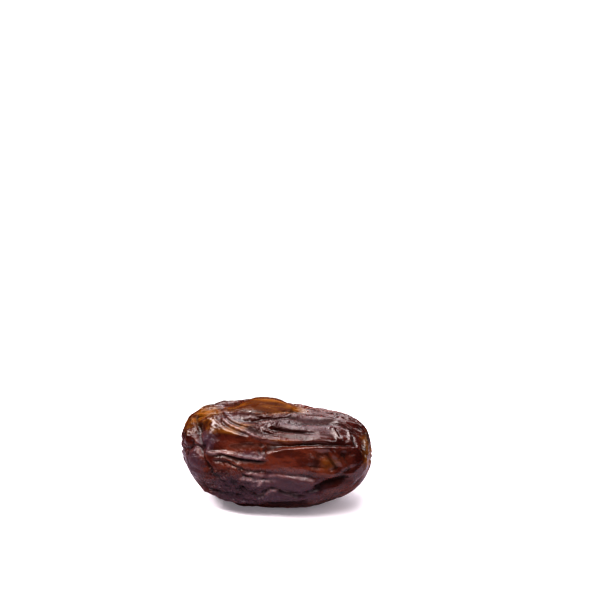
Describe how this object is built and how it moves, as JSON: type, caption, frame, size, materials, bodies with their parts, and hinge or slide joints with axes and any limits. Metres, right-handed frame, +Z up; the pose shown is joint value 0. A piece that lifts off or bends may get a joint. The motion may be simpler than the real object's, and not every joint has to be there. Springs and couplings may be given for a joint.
{
  "type": "date fruit",
  "caption": "One whole dried date lying on its side, plump and blunt-ended, with long skin folds, a stalk scar and a flat rest spot.",
  "frame": {"origin": "on the surface that the fruit rests on, under the middle of its bounding box", "axes": "+X along the fruit from the stalk end to the tip, +Z up, -Y towards the side that faces the viewer"},
  "size_m": [0.0454, 0.026, 0.0249],
  "materials": {
    "date_skin": "glossy wrinkled dark red-brown skin, amber where it is loose"
  },
  "bodies": {
    "root": {"date_fruit": "date_skin"}
  },
  "joints": []
}
